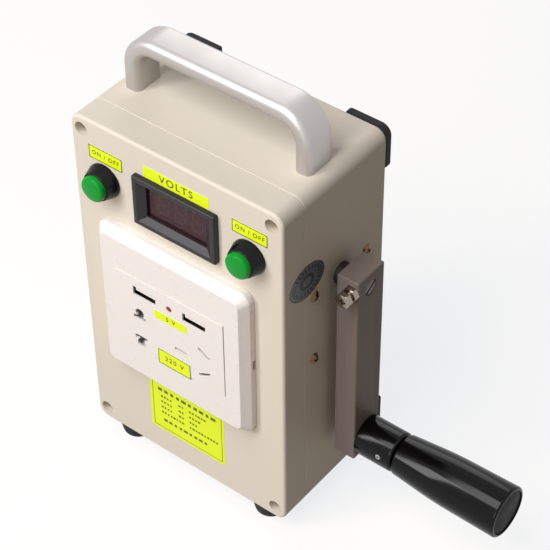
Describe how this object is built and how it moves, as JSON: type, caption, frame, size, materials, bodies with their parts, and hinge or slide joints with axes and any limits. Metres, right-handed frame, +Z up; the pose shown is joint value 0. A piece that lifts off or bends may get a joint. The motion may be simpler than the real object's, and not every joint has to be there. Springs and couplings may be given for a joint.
{
  "type": "hand crank generator",
  "caption": "Portable hand crank generator in a plastic enclosure, with a carry handle, side crank, voltmeter, push buttons and a socket plate with charging ports.",
  "frame": {"origin": "on the plane under the rubber feet, below the middle of the enclosure's width and depth", "axes": "+Z up, towards the carry handle; +X to the crank side; +Y from the front lid to the back"},
  "size_m": [0.2121, 0.0873, 0.229],
  "materials": {
    "case_plastic": "fine matt moulded ABS",
    "seal_rubber": "soft matt",
    "foot_rubber": "matt",
    "handle_metal": "satin anodised",
    "steel": "zinc plated",
    "bezel_plastic": "satin black",
    "lens_tint": "clear gloss, tinted dark red",
    "display_block": "satin",
    "black_plastic": "gloss black",
    "green_plastic": "gloss green",
    "spring_steel": "bright",
    "contact_brass": "bright",
    "socket_plastic": "gloss white",
    "port_steel": "bright plated",
    "led_resin": "clear gloss red, unlit",
    "gearbox_steel": "zinc plated sheet",
    "bush_brass": "turned",
    "gear_nylon": "natural nylon",
    "gear_steel": "machined",
    "can_steel": "drawn and plated",
    "core_iron": "laminated iron",
    "magnet_ferrite": "ferrite",
    "carbon": "carbon brush",
    "arm_steel": "drawn bar, satin",
    "grip_plastic": "gloss black",
    "board_laminate": "printed circuit laminate",
    "capacitor_sleeve": "sleeved can",
    "coil_copper": "enamelled copper over a ferrite ring",
    "sink_aluminium": "extruded"
  },
  "bodies": {
    "case": {"base_shell": "case_plastic", "front_lid": "case_plastic", "lid_seal": "seal_rubber", "lid_screws": "steel", "rubber_feet": "foot_rubber", "foot_screws": "steel", "rear_pads": "foot_rubber", "carry_handle": "handle_metal", "handle_screws": "steel", "meter_bezel": "bezel_plastic", "meter_lens": "lens_tint", "meter_display": "display_block", "button_housing_left": "black_plastic", "button_housing_right": "black_plastic", "button_nuts": "black_plastic", "button_terminals": "contact_brass", "socket_plate": "socket_plastic", "socket_frame": "socket_plastic", "socket_screws": "steel", "socket_insert": "socket_plastic", "socket_body": "black_plastic", "socket_contacts": "contact_brass", "usb_shells": "port_steel", "usb_tongues": "socket_plastic", "power_led": "led_resin", "gearbox_outer_plate": "gearbox_steel", "gearbox_inner_plate": "gearbox_steel", "gearbox_pillars": "gearbox_steel", "gearbox_screws": "steel", "gearbox_bushes": "bush_brass", "wall_screws": "steel", "crank_bushing": "steel", "generator_can": "can_steel", "generator_end_cap": "black_plastic", "generator_brushes": "carbon", "generator_magnets": "magnet_ferrite", "converter_board": "board_laminate", "board_capacitors": "capacitor_sleeve", "board_coil": "coil_copper", "board_heat_sink": "sink_aluminium"},
    "button_left": {"button_cap_left": "green_plastic", "button_spring_left": "spring_steel"},
    "button_right": {"button_cap_right": "green_plastic", "button_spring_right": "spring_steel"},
    "crank": {"crank_gear": "gear_nylon", "crank_shaft": "gear_steel", "crank_arm": "arm_steel", "clamp_bolt": "steel", "clamp_nut": "steel", "grip_collar": "grip_plastic", "collar_screw": "steel", "grip_spindle": "gear_steel"},
    "idler": {"idler_gear": "gear_nylon", "idler_axle": "gear_steel"},
    "rotor": {"generator_pinion": "gear_steel", "rotor_core": "core_iron", "rotor_shaft": "gear_steel"},
    "grip": {"crank_grip": "grip_plastic", "grip_end_cap": "grip_plastic"}
  },
  "joints": [
    {"name": "crank_turn", "type": "hinge", "parent": "case", "child": "crank", "pos_m": [0.06, 0.0039, 0.1405], "axis": [1, 0, 0], "continuous": true},
    {"name": "grip_spin", "type": "hinge", "parent": "crank", "child": "grip", "pos_m": [0.12, 0.0039, 0.047], "axis": [1, 0, 0], "continuous": true},
    {"name": "idler_turn", "type": "hinge", "parent": "case", "child": "idler", "pos_m": [0.04, 0.0039, 0.1085], "axis": [1, 0, 0], "continuous": true},
    {"name": "generator_turn", "type": "hinge", "parent": "case", "child": "rotor", "pos_m": [0, 0.01291, 0.08454], "axis": [1, 0, 0], "continuous": true},
    {"name": "button_left_press", "type": "slide", "parent": "case", "child": "button_left", "axis": [0, 1, 0], "range_m": [0, 0.0025], "stiffness_N_per_m": 300, "springref_m": -0.002, "deforming": ["button_spring_left"]},
    {"name": "button_right_press", "type": "slide", "parent": "case", "child": "button_right", "axis": [0, 1, 0], "range_m": [0, 0.0025], "stiffness_N_per_m": 300, "springref_m": -0.002, "deforming": ["button_spring_right"]}
  ],
  "couplings": [
    {"joint": "idler_turn", "follows": "crank_turn", "ratio": -3},
    {"joint": "generator_turn", "follows": "crank_turn", "ratio": 9}
  ]
}
